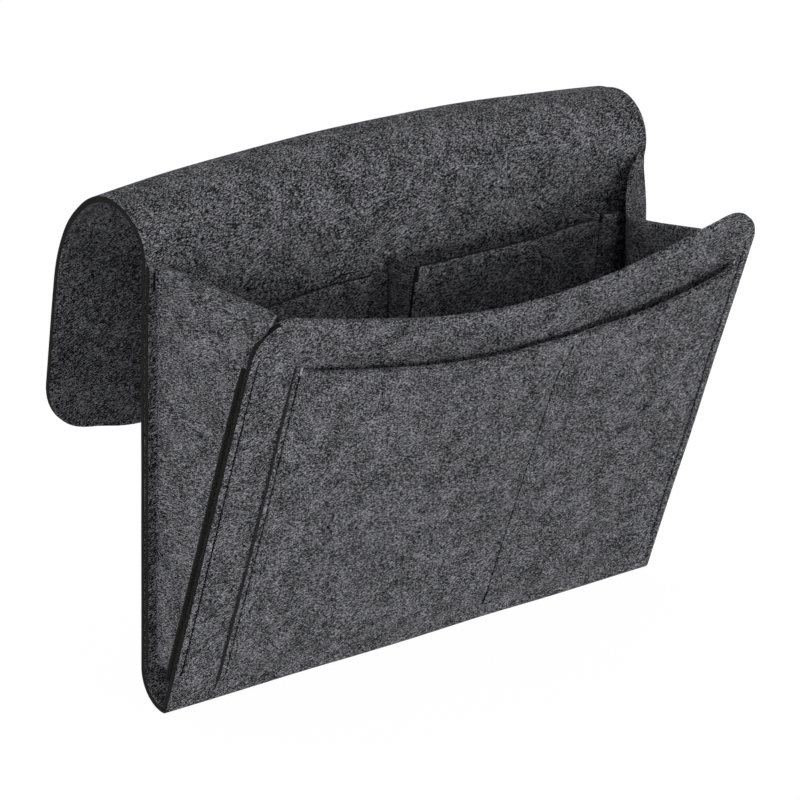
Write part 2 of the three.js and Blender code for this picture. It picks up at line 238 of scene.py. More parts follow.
def new_material(
    name: str, roughness: float, gloss: float = 0.5
) -> tuple[Material, NodeTree, Node]:
    """Makes a material with a plain Principled shader.

    Args:
        name: The material's name.
        roughness: The shader's roughness.
        gloss: Its specular level.

    Returns:
        The material, its node tree and its shader.
    """
    material = bpy.data.materials.new(name)
    material.use_nodes = True
    shader = material.node_tree.nodes["Principled BSDF"]
    shader.inputs["Roughness"].default_value = roughness
    shader.inputs["Specular IOR Level"].default_value = gloss
    return material, material.node_tree, shader


def add_math(tree: NodeTree, operation: str, *values: Any) -> NodeSocket:
    """Adds a maths node.

    Args:
        tree: The material's node tree.
        operation: What the node works out.
        values: Its inputs in order, each a number or an output socket.

    Returns:
        The socket of the result.
    """
    inputs = {str(i): value for i, value in enumerate(values)}
    return add_node(tree, "ShaderNodeMath", {"operation": operation}, inputs).outputs["Value"]


def add_grain(
    tree: NodeTree,
    place: NodeSocket,
    size_mm: float,
    detail: float,
    roughness: float = 0.5,
    distortion: float = 0.0,
) -> NodeSocket:
    """Adds a noise pattern of a real size.

    Args:
        tree: The material's node tree.
        place: The coordinates.
        size_mm: Size of one grain.
        detail: How many finer noises lie over it.
        roughness: How strong those are.
        distortion: How far the grain is drawn about.

    Returns:
        The pattern, about 0.5 on average.
    """
    inputs = {
        "Vector": place,
        "Scale": 1 / (size_mm * MM),
        "Detail": detail,
        "Roughness": roughness,
        "Distortion": distortion,
    }
    return add_node(tree, "ShaderNodeTexNoise", inputs=inputs).outputs["Fac"]


def paint(
    tree: NodeTree,
    shader: Node,
    pattern: NodeSocket,
    tones: Sequence[tuple[float, str]],
    relief: float,
    relief_mm: float,
) -> None:
    """Colours a shader by a pattern, and raises its surface by the same one.

    Args:
        tree: The material's node tree.
        shader: The shader.
        pattern: The pattern's socket.
        tones: Place and sRGB hex colour of each stop of the colour ramp.
        relief: Strength of the relief.
        relief_mm: Its depth.
    """
    ramp = add_node(tree, "ShaderNodeValToRGB", inputs={"Fac": pattern})
    elements = ramp.color_ramp.elements
    while len(elements) < len(tones):
        elements.new(0.5)
    for element, (place, colour) in zip(elements, tones):
        element.position = place
        element.color = linear(colour)
    tree.links.new(ramp.outputs["Color"], shader.inputs["Base Color"])
    bump = add_node(
        tree, "ShaderNodeBump", inputs={"Height": pattern, "Strength": relief, "Distance": relief_mm * MM}
    )
    tree.links.new(bump.outputs["Normal"], shader.inputs["Normal"])


def background_ray(tree: NodeTree) -> NodeSocket:
    """Adds the test for rays that see a white background: 1 for the camera, gloss and glass, else 0."""
    ray = add_node(tree, "ShaderNodeLightPath")
    seen = ray.outputs["Is Camera Ray"]
    for name in ("Is Glossy Ray", "Is Transmission Ray"):
        seen = add_math(tree, "MAXIMUM", seen, ray.outputs[name])
    return seen


def flat_size(
    surface: Surface, columns: Sequence[float], rows: Sequence[float]
) -> tuple[float, float, float]:
    """Reads the flat cut of a felt piece off its drawn surface.

    Args:
        surface: Gives the middle of the felt, in millimetres.
        columns: Values across the piece.
        rows: Values along the piece.

    Returns:
        The longest width, the longest length and the area, in metres and square metres.
    """
    grid = [[surface(column, row) for column in columns] for row in rows]
    width = max(sum((b - a).length for a, b in zip(line, line[1:])) for line in grid)
    length = max(sum((b - a).length for a, b in zip(side, side[1:])) for side in zip(*grid))
    area = 0.0
    for line, after in zip(grid, grid[1:]):
        for a, b, c, d in zip(line, line[1:], after[1:], after):
            area += geometry.area_tri(a, b, c) + geometry.area_tri(a, c, d)
    return width * MM, length * MM, area * MM * MM


@dataclass(frozen=True)
class NeedleFelt:
    """Needle-punched polyester felt, a melange of dark and pale fibres.

    The eye sees a dry matt face with pale fibres a few millimetres long that lie every way over near-black
    ones, soft clouds some centimetres wide where one of them gathers, and hardly any gloss.
    """

    name: str = "needle_felt_charcoal"
    tones: tuple[tuple[float, str], ...] = (
        (0.32, "#121214"),
        (0.53, "#3a3a3f"),
        (0.68, "#717178"),
        (0.86, "#b8b8be"),
    )
    darkest_sum: float = 1.505
    palest_sum: float = 1.88
    fibre_width_mm: float = 0.17  # drawn coarser than the real 0.05 mm, as the tufts that the eye sees
    fibre_stretch: float = 7.0
    fibre_wander: float = 0.3
    fibre_turns: tuple[tuple[float, float, float], ...] = (
        (0.0, 1.25, 0.0),
        (0.0, 1.55, 0.3),
        (1.4, 0.0, 0.0),
    )
    cloud_mm: float = 11.0
    cloud_share: float = 0.3
    cloud_roughness: float = 0.6
    nap: float = 0.6
    nap_mm: float = 0.5
    bloom: float = 0.03

    def make(self) -> Material:
        """Builds the felt's node material, where the fibres of every way are summed up."""
        material, tree, shader = new_material(self.name, roughness=0.95, gloss=0.06)
        place = add_node(tree, "ShaderNodeTexCoord").outputs["Object"]
        tufts, *others = [self._strands(tree, place, turn) for turn in self.fibre_turns]
        for strands in others:
            tufts = add_math(tree, "ADD", tufts, strands)
        clouds = add_grain(tree, place, self.cloud_mm, detail=3.0, roughness=self.cloud_roughness)
        clouded = add_math(tree, "MULTIPLY_ADD", clouds, self.cloud_share, tufts)
        spread = add_node(
            tree,
            "ShaderNodeMapRange",
            inputs={"Value": clouded, "From Min": self.darkest_sum, "From Max": self.palest_sum},
        )
        paint(tree, shader, spread.outputs["Result"], self.tones, self.nap, self.nap_mm)
        shader.inputs["Sheen Weight"].default_value = self.bloom
        shader.inputs["Sheen Roughness"].default_value = 0.5
        return material

    def _strands(
        self, tree: NodeTree, place: NodeSocket, turn: tuple[float, float, float]
    ) -> NodeSocket:
        """Adds fibres that lie one way.

        Args:
            tree: The material's node tree.
            place: The Object coordinates.
            turn: Which way the fibres lie, as a rotation.

        Returns:
            The fibres' height, about 0.5 on average.
        """
        turned = add_node(
            tree,
            "ShaderNodeMapping",
            settings={"vector_type": "TEXTURE"},
            inputs={"Vector": place, "Rotation": turn, "Scale": (1.0, 1.0, self.fibre_stretch)},
        )
        pair_mm = 2 * self.fibre_width_mm
        return add_grain(tree, turned.outputs["Vector"], pair_mm, detail=1.0, distortion=self.fibre_wander)


@dataclass(frozen=True)
class GrainedFinish:
    """A matt finish whose fine grain goes from a dark tone to a pale one."""

    name: str = "grained_finish"
    dark: str = "#000000"
    pale: str = "#ffffff"
    grain_mm: float = 0.7
    detail: float = 2.0
    grain_roughness: float = 0.5
    distortion: float = 0.0
    dark_to: float = 0.35
    pale_from: float = 0.65
    relief: float = 0.4
    relief_mm: float = 0.15
    roughness: float = 0.9
    gloss: float = 0.05

    def make(self) -> Material:
        """Builds the node material."""
        material, tree, shader = new_material(self.name, self.roughness, self.gloss)
        place = add_node(tree, "ShaderNodeTexCoord").outputs["Object"]
        grain = add_grain(tree, place, self.grain_mm, self.detail, self.grain_roughness, self.distortion)
        tones = [(self.dark_to, self.dark), (self.pale_from, self.pale)]
        paint(tree, shader, grain, tones, self.relief, self.relief_mm)
        return material


@dataclass(frozen=True)
class CutFelt(GrainedFinish):
    """The knife-cut edge of needle felt, denser and browner than its face, with faint layers; its near-black
    tones are partly painted shade of the side edges and crevices where it is put.
    """

    name: str = "needle_felt_cut_edge"
    # near-black tones: partly the cut's own colour, partly painted shade
    dark: str = "#0c0c0d"
    pale: str = "#302f2d"
    detail: float = 3.0
    grain_roughness: float = 0.7
    dark_to: float = 0.38
    pale_from: float = 0.68
    relief: float = 0.5
    relief_mm: float = 0.3
    roughness: float = 1.0
    gloss: float = 0.1


@dataclass(frozen=True)
class SewingThread(GrainedFinish):
    """Spun polyester thread in dark grey, drawn near black as painted shade of the groove that it lies in,
    with the faint light and dark of its twist.
    """

    name: str = "spun_thread_dark_grey"
    # near black: partly the thread's colour, partly painted shade of its groove
    dark: str = "#0c0c0e"
    pale: str = "#1e1e21"
    distortion: float = 0.6


@dataclass(frozen=True)
class Settling:
    """How the sewn caddy has settled out of its drawn shape.

    Every piece goes through it, so layers that are sewn together stay together.
    """

    crown_rise: float = 6.5
    crown_tilt: float = 1.7
    crown_fall: float = 8.75
    bow: float = 4.5
    bow_centre: float = 30.0
    bow_reach: float = 135.0
    bow_starts: float = 8.0
    bow_is_full: float = 70.0
    shoulder: float = 4.5
    shoulder_from: float = 0.25
    unevenness: float = 0.7
    wave_length: float = 75.0
    seed: int = 5

    def __post_init__(self) -> None:
        """Fixes the noise, so that every run settles alike."""
        noise.seed_set(self.seed)

    def settle(self, point: Vector) -> Vector:
        """Gives where a drawn point has come to lie.

        Args:
            point: The drawn place, in millimetres from the crease.

        Returns:
            The settled place, in the same frame.
        """
        across = point.x / HALF
        crown = self.crown_rise + self.crown_tilt * across - self.crown_fall * across * across
        lifted = point + Vector((0, 0, crown * smoothstep(point.z, BACK_HEIGHT, BACK_HEIGHT + ARCH_RADIUS)))
        from_axis = Vector((0, point.y - ROW_ORIGIN.y, point.z - BACK_HEIGHT))
        if from_axis.y < 0 < from_axis.z:
            round_arch = from_axis.normalized()
            squarer = -2 * round_arch.y * round_arch.z
            squarer *= smoothstep(point.x, self.shoulder_from * HALF, HALF)
            lifted += round_arch * self.shoulder * squarer
        off_centre = (point.x - self.bow_centre) / self.bow_reach
        bowed = self.bow * max(0.0, 1 - off_centre**2) ** 2
        bowed *= smoothstep(-point.y, self.bow_starts, self.bow_is_full)
        out_of_front = Vector((0, -math.cos(LEAN), -math.sin(LEAN)))
        waves = noise.noise_vector(point / self.wave_length) * self.unevenness
        return lifted + out_of_front * bowed + waves


class BentLine:
    """A line in the (y, z) plane made of straights and arcs, read by the distance along it."""

    def __init__(
        self, start: tuple[float, float], heading: float, bends: Sequence[tuple[float, float]]
    ) -> None:
        """Lays the line out.

        Args:
            start: First point.
            heading: First direction, in radians from +y towards +z.
            bends: Each bend's length and its turn in radians, to the left where positive.
        """
        self.bends: list[tuple[float, float, float, tuple[float, float], float]] = []
        self.length = 0.0
        point = start
        for length, turn in bends:
            self.bends.append((self.length, length, turn, point, heading))
            point = self._step(point, heading, length, turn)
            heading += turn
            self.length += length

    @staticmethod
    def _step(
        point: tuple[float, float], heading: float, length: float, turn: float
    ) -> tuple[float, float]:
        """Gives the point at the end of one bend."""
        chord = length if abs(turn) < HARDLY_ANY else 2 * length / turn * math.sin(turn / 2)
        along = heading + turn / 2
        return point[0] + chord * math.cos(along), point[1] + chord * math.sin(along)

    def at(self, distance: float) -> tuple[float, float]:
        """Gives (y, z) at a distance along the line."""
        for start, length, turn, point, heading in reversed(self.bends):
            if distance >= start:
                share = (distance - start) / length
                return self._step(point, heading, distance - start, turn * share)
        return self.bends[0][3]


@dataclass
class Workshop:
    """The tools that cut the felt and sew the thread, with the finishes that they use."""

    settling: Settling = field(default_factory=Settling)
    cut_side: float = 0.3  # an upright cut edge keeps the dark cut finish, partly painted shade, and a level one takes the face's felt
    worn_edge: float = 0.45
    worn_from: float = math.radians(55)
    smooth_below: float = math.radians(40)
    stitch_sides: int = 8
    stitch_rings: tuple[float, ...] = (-0.38, -0.2, 0.0, 0.2, 0.38)
    stitch_taper: float = 0.9
    stitch_tip: float = 0.06
    stitch_dip: float = 0.75
    normal_reach: float = 0.02
    felt: Material = field(init=False)
    cut: Material = field(init=False)
    thread: Material = field(init=False)
    pressed: Material = field(init=False)
    tack_thread: Material = field(init=False)
    stitch: Object = field(init=False)

    def __post_init__(self) -> None:
        """Makes the finishes and the one stitch that every seam copies."""
        self.felt = NeedleFelt().make()
        self.cut = CutFelt().make()
        # the outer pocket's cut edge: a mid-dark tone, partly the cut's colour and partly painted shade along
        # the pocket's sides
        self.pressed = CutFelt("needle_felt_pressed_edge", dark="#1a1a1d", pale="#464549").make()
        self.thread = SewingThread().make()
        # the pocket's bar tacks: pale grey thread, partly painted sheen of the tack
        self.tack_thread = SewingThread("spun_thread_pale_grey", dark="#8e8e92", pale="#d4d4d8").make()
        self.stitch = self._make_stitch()

    def _make_stitch(self) -> Object:
        """Models one stitch of unit size, lying along x, with its ends drawn down into the felt."""
        bpy.ops.object.select_all(action="DESELECT")
        bpy.ops.mesh.primitive_cylinder_add(
            vertices=self.stitch_sides, radius=0.5, depth=1.0, rotation=(0, math.pi / 2, 0)
        )
        stitch = bpy.context.object
        stitch.name = "stitch_pattern"
        bpy.ops.object.transform_apply(location=True, rotation=True, scale=True)
        bpy.ops.object.mode_set(mode="EDIT")
        for place in self.stitch_rings:
            bpy.ops.mesh.select_all(action="SELECT")
            bpy.ops.mesh.bisect(plane_co=(place, 0, 0), plane_no=(1, 0, 0))
        bpy.ops.object.mode_set(mode="OBJECT")
        for vertex in stitch.data.vertices:
            end = (2 * vertex.co.x) ** 2
            thinner = math.sqrt(max(self.stitch_tip, 1 - self.stitch_taper * end))
            sunk = self.stitch_dip * end * end
            vertex.co = (vertex.co.x, vertex.co.y * thinner, vertex.co.z * thinner - sunk)
        stitch.data.materials.append(self.thread)
        for face in stitch.data.polygons:
            face.use_smooth = True
        return stitch

    def cut_sheet(
        self,
        name: str,
        columns: Sequence[float],
        rows: Sequence[float],
        surface: Surface,
        held: str,
        rests_on: Sequence[str] = (),
        pinch: Callable[[float, float], float] | None = None,
        level_edges_as_face: bool = True,
        flat_width: float = 0.0,
    ) -> Object:
        """Cuts one felt piece and bends it to its surface.

        Args:
            name: The piece's name.
            columns: Values across the piece.
            rows: Values along the piece.
            surface: Gives the middle of the felt at a column and a row, in millimetres.
            rests_on: Names of what it is sewn to; not used.
            pinch: Share of the thickness that is left at a column and a row, where a seam draws it in.
            level_edges_as_face: Whether level cut edges take the face's felt instead of the dark cut finish.
            flat_width: Width of the cut, where a scooped row would measure too long.

        Returns:
            The finished object, in the row's frame.
        """
        bpy.ops.object.select_all(action="DESELECT")
        bpy.ops.mesh.primitive_grid_add(
            x_subdivisions=len(columns) - 1, y_subdivisions=len(rows) - 1, size=1.0
        )
        piece = bpy.context.object
        piece.name = name
        piece.data.name = name
        weights = piece.vertex_groups.new(name="thickness") if pinch else None
        for vertex in piece.data.vertices:
            column = columns[round((vertex.co.x + 0.5) * (len(columns) - 1))]
            row = rows[round((vertex.co.y + 0.5) * (len(rows) - 1))]
            vertex.co = to_row(self.settling.settle(surface(column, row)))
            if weights:
                weights.add([vertex.index], pinch(column, row), "REPLACE")
        piece.data.materials.append(self.felt)
        piece.data.materials.append(self.cut)
        thick = piece.modifiers.new("felt_thickness", "SOLIDIFY")
        thick.thickness = FELT * MM
        thick.offset = 0.0
        thick.use_even_offset = True
        thick.use_quality_normals = True
        thick.material_offset_rim = 1
        if weights:
            thick.vertex_group = weights.name
        bpy.ops.object.modifier_apply(modifier=thick.name)
        soft = piece.modifiers.new("worn_edge", "BEVEL")
        soft.width = self.worn_edge * MM
        soft.segments = 2
        soft.limit_method = "ANGLE"
        soft.angle_limit = self.worn_from
        bpy.ops.object.modifier_apply(modifier=soft.name)
        bpy.ops.object.shade_smooth_by_angle(angle=self.smooth_below)
        # Upright cut edges keep the dark cut finish, partly painted shade; level ones take the face's felt.
        for face in piece.data.polygons:
            if level_edges_as_face and abs(face.normal.x) < self.cut_side:
                face.material_index = 0
        width, length, area = flat_size(surface, columns, rows)
        width = flat_width * MM or width
        LOG.info("%s: cut %.3f by %.3f m, %.4f square metres", name, width, length, area)
        return piece

    def sew(
        self,
        name: str,
        path: Sequence[tuple[Vector, Vector]],
        pitch: float,
        length: float,
        width: float,
        height: float,
        crosswise: bool = False,
    ) -> Object:
        """Sews one seam from copies of the stitch.

        Args:
            name: The piece's name.
            path: Points on the felt's face, with the face's normal, in millimetres.
            pitch: Distance from one stitch to the next.
            length: Length of a stitch.
            width: Width of the thread.
            height: How far the thread stands out of the felt.
            crosswise: True for a tack, whose stitches lie across the path.

        Returns:
            The seam as one object, in the row's frame.
        """
        places = [0.0]
        for (before, _), (after, _) in zip(path, path[1:]):
            places.append(places[-1] + (after - before).length)
        count = max(1, round(places[-1] / pitch))
        copies = []
        for i in range(count):
            middle, along, normal = self._place_on(path, places, (i + 0.5) * places[-1] / count)
            side = normal.cross(along).normalized()
            if crosswise:
                along, side = side, -along
            turn = Matrix((along * length, side * width, normal * height)).transposed().to_4x4()
            stitch = self.stitch.copy()
            stitch.data = self.stitch.data.copy()
            stitch.data.transform(Matrix.Scale(MM, 4) @ turn)
            stitch.data.transform(Matrix.Translation(to_row(middle)))
            bpy.context.scene.collection.objects.link(stitch)
            copies.append(stitch)
        bpy.ops.object.select_all(action="DESELECT")
        for stitch in copies:
            stitch.select_set(True)
        bpy.context.view_layer.objects.active = copies[0]
        bpy.ops.object.join()
        seam = bpy.context.object
        seam.name = name
        seam.data.name = name
        return seam

    @staticmethod
    def _place_on(
        path: Sequence[tuple[Vector, Vector]], places: Sequence[float], distance: float
    ) -> tuple[Vector, Vector, Vector]:
        """Gives the point, direction and normal at a distance along a path."""
        for i in range(len(path) - 1):
            if distance <= places[i + 1] or i == len(path) - 2:
                share = (distance - places[i]) / (places[i + 1] - places[i])
                point = path[i][0].lerp(path[i + 1][0], share)
                along = (path[i + 1][0] - path[i][0]).normalized()
                normal = path[i][1].lerp(path[i + 1][1], share)
                normal = (normal - along * normal.dot(along)).normalized()
                return point, along, normal
        raise ValueError("a seam needs two points")

    def on_face(
        self, surface: Surface, column: float, row: float, side: int, depth: float
    ) -> tuple[Vector, Vector]:
        """Gives a place on a felt piece's face and its normal.

        Args:
            surface: The piece's surface.
            column: Place across the piece.
            row: Place along the piece.
            side: 1 for the face on the left of the surface's own turn, and -1 for the other.
            depth: How deep under the drawn face the place lies.

        Returns:
            The settled point and the outward normal.
        """
        reach = self.normal_reach
        settle = self.settling.settle
        across = settle(surface(column + reach, row)) - settle(surface(column - reach, row))
        along = settle(surface(column, row + reach)) - settle(surface(column, row - reach))
        normal = across.cross(along).normalized() * side
        return settle(surface(column, row)) + normal * (FELT / 2 - depth), normal

    def dispose(self) -> None:
        """Takes the stitch pattern out of the scene."""
        bpy.data.objects.remove(self.stitch)


def front_point(x: float, up: float, out: float) -> Vector:
    """Gives a point of the leaning front.

    Args:
        x: Place along the width.
        up: Distance up the panel from the crease.
        out: Distance out of the panel's outer face, negative into the felt.

    Returns:
        The drawn point, in millimetres.
    """
    y = -up * math.sin(LEAN) - out * math.cos(LEAN)
    return Vector((x, y, up * math.cos(LEAN) - out * math.sin(LEAN)))


def front_top(x: float) -> float:
    """Gives how far up the panel the front's scooped top edge is at a place along the width."""
    centre = HALF - CORNER
    scoop_end = centre + CORNER * math.cos(CORNER_SWEEP)
    scoop_top = FRONT_LENGTH - CORNER + CORNER * math.sin(CORNER_SWEEP)
    if abs(x) > scoop_end:
        return FRONT_LENGTH - CORNER + math.sqrt(max(0.0, CORNER**2 - (abs(x) - centre) ** 2))
    return scoop_top - FRONT_SCOOP * math.cos(x / scoop_end * math.pi / 2)


def seam_pinch(distance: float, strength: float = 0.85, reach: float = 0.9) -> float:
    """Gives the share of the thickness that is left at a distance from a seam."""
    return 1 - strength * max(0.0, 1 - (distance / reach) ** 2)


@dataclass
class MainSheet:
    """The long felt sheet: front, crease, bottom, back, arch and hanging flap.

    It moves at two folds, so it is two pieces that meet behind the inner pockets.
    """

    shop: Workshop
    fold_radius: float = 1.7
    arch_sweep: float = math.radians(135)
    drape_radius: float = 85.0
    flap_slant: float = math.radians(8)
    flap_straight: float = 90.0
    flap_corner: float = 30.0
    flap_left: float = -2.5
    flap_right: float = 2.0
    flap_left_reach: float = 65.0
    flap_curl: float = 2.4
    curl_place: float = 29.0
    curl_width: float = 16.0
    uneven_above: float = 60.0
    split_height: float = 150.0
    sewn_shares: tuple[float, float] = (0.06, 0.94)
    fold_blend: tuple[float, float] = (-0.8, -4.5)
    shoulder_blend: tuple[float, float] = (64.0, 86.0)
    seam_room: float = 1.2
    corner_steps: int = 14
    flap_corner_steps: int = 16
    front_steps: int = 58
    straight_rows: float = 30.0
    fold_end: float = 8.0
    line: BentLine = field(init=False)

    BACK_BEND: ClassVar[int] = 3
    ARCH_BEND: ClassVar[int] = 4

    def __post_init__(self) -> None:
        """Lays out the bent line of the sheet, from the front's fold to the end of the flap."""
        reach = (self.fold_radius + FELT / 2) * math.tan((math.pi / 2 - LEAN) / 2)
        bottom = BOTTOM_DEPTH - reach - FELT / 2
        start = front_point(0, FOLD_TOP, -FELT / 2)
        turn = math.pi / 2 - LEAN
        drape = math.pi - self.arch_sweep - self.flap_slant
        bends = [
            (FOLD_TOP - reach, 0.0),
            (self.fold_radius * turn, turn),
            (bottom * math.pi / 2, math.pi / 2),
            (BACK_HEIGHT - bottom - FELT / 2, 0.0),
            (ARCH_RADIUS * self.arch_sweep, -self.arch_sweep),
            (self.drape_radius * drape, -drape),
            (self.flap_straight, 0.0),
        ]
        self.line = BentLine((start.y, start.z), LEAN - math.pi / 2, bends)

    def columns(self) -> list[float]:
        """Gives the columns of the sheet, close together near its seams and round corners."""
        seam_ends = HALF - FRONT_SEAM_INSET - self.seam_room, HALF - SEAM_INSET + self.seam_room
        seam = spaced(*seam_ends, SEAM_STEP)
        shares = evenly(0, 1, self.corner_steps)
        corner = [HALF - CORNER + CORNER * math.sin(share * math.pi / 2) for share in shares]
        side = merged(seam, corner, near=NEAR_COLUMN)
        middle = spaced(-(HALF - CORNER), HALF - CORNER, WIDE_STEP)
        return merged([-x for x in side], middle, side)

    def lower_surface(self, x: float, row: float) -> Vector:
        """Gives the lower piece's Surface.

        Args:
            x: Place along the width.
            row: Distance along the sheet past the fold, or minus the share of the way up the front.
        """
        if row < 0:
            return front_point(x, lerp(FOLD_TOP, front_top(x), -row), -FELT / 2)
        y, z = self.line.at(row)
        return Vector((x, y, z))

    def upper_surface(self, x: float, row: float) -> Vector:
        """Gives the upper piece's Surface, with the flap's round corners.

        Args:
            x: Place along the full width, which narrows at the corners.
            row: Distance along the sheet past the fold.
        """
        y, z = self.line.at(row)
        round_start = self.line.length - self.flap_corner
        into = max(0.0, row - round_start)
        narrower = self.flap_corner - math.sqrt(max(0.0, self.flap_corner**2 - into**2))
        place = x * (HALF - narrower) / HALF
        to_right = smoothstep(place, -HALF, -HALF + self.flap_left_reach)
        from_curl = (place + HALF - self.curl_place) / self.curl_width
        longer = lerp(self.flap_left, self.flap_right, to_right)
        longer -= self.flap_curl * math.exp(-(from_curl**2))
        longer *= smoothstep(row, round_start - self.uneven_above, round_start)
        y += longer * math.sin(self.flap_slant)
        return Vector((place, y, z - longer * math.cos(self.flap_slant)))

    def back_row(self, height: float) -> float:
        """Gives the distance along the sheet at a height on the flat back."""
        start, _, _, point, _ = self.line.bends[self.BACK_BEND]
        return start + height - point[1]

    def build(self) -> list[Object]:
        """Cuts and places both pieces.

        Returns:
            The lower and the upper piece.
        """
        split = self.back_row(self.split_height)
        crease = self.line.bends[self.BACK_BEND][0]
        front_rows = [-share for share in evenly(1.0, 0.0, self.front_steps)[:-1]]
        past_fold = merged(
            spaced(0, self.fold_end, FINE_STEP),
            spaced(self.fold_end, crease, BEND_STEP),
            spaced(crease, split, FLAT_STEP),
        )
        lower_rows = [*front_rows, *past_fold]
        arch = self.line.bends[self.ARCH_BEND][0]
        round_start = self.line.length - self.flap_corner
        straight = round_start - self.straight_rows
        shares = evenly(0, 1, self.flap_corner_steps)
        corner_rows = [round_start + self.flap_corner * math.sin(share * math.pi / 2) for share in shares]
        upper_rows = merged(
            spaced(split, arch, FLAT_STEP),
            spaced(arch, straight, ARCH_STEP),
            spaced(straight, round_start, FLAT_STEP),
            corner_rows,
        )

        def lower_pinch(x: float, row: float) -> float:
            """Draws the felt in along both side seams."""
            low, high = self.sewn_shares
            if row < 0:
                return seam_pinch(HALF - FRONT_SEAM_INSET - abs(x)) if low < -row < high else 1.0
            return seam_pinch(HALF - SEAM_INSET - abs(x)) if row > crease else 1.0

        def upper_pinch(x: float, row: float) -> float:
            """Draws the felt in along both side seams, up to the gussets' tacks."""
            return seam_pinch(HALF - SEAM_INSET - abs(x)) if row < self.back_row(BACK_HEIGHT) else 1.0

        lower = self.shop.cut_sheet(
            "front_and_bottom_felt", self.columns(), lower_rows, self.lower_surface,
            "folded", ["back_and_flap_felt"], lower_pinch, flat_width=WIDTH,
        )
        upper = self.shop.cut_sheet(
            "back_and_flap_felt", self.columns(), upper_rows, self.upper_surface, "hung", pinch=upper_pinch
        )
        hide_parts("front_panel")
        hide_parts("back_panel", "rear_flap")
        start, end = (to_row(Vector((0, y, 0))) for y in self.fold_blend)
        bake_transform(lower)
        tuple(start)
        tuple(end)
        start, end = (to_row(Vector((0, y, 0))) for y in self.shoulder_blend)
        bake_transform(upper)
        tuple(start)
        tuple(end)
        return [lower, upper]


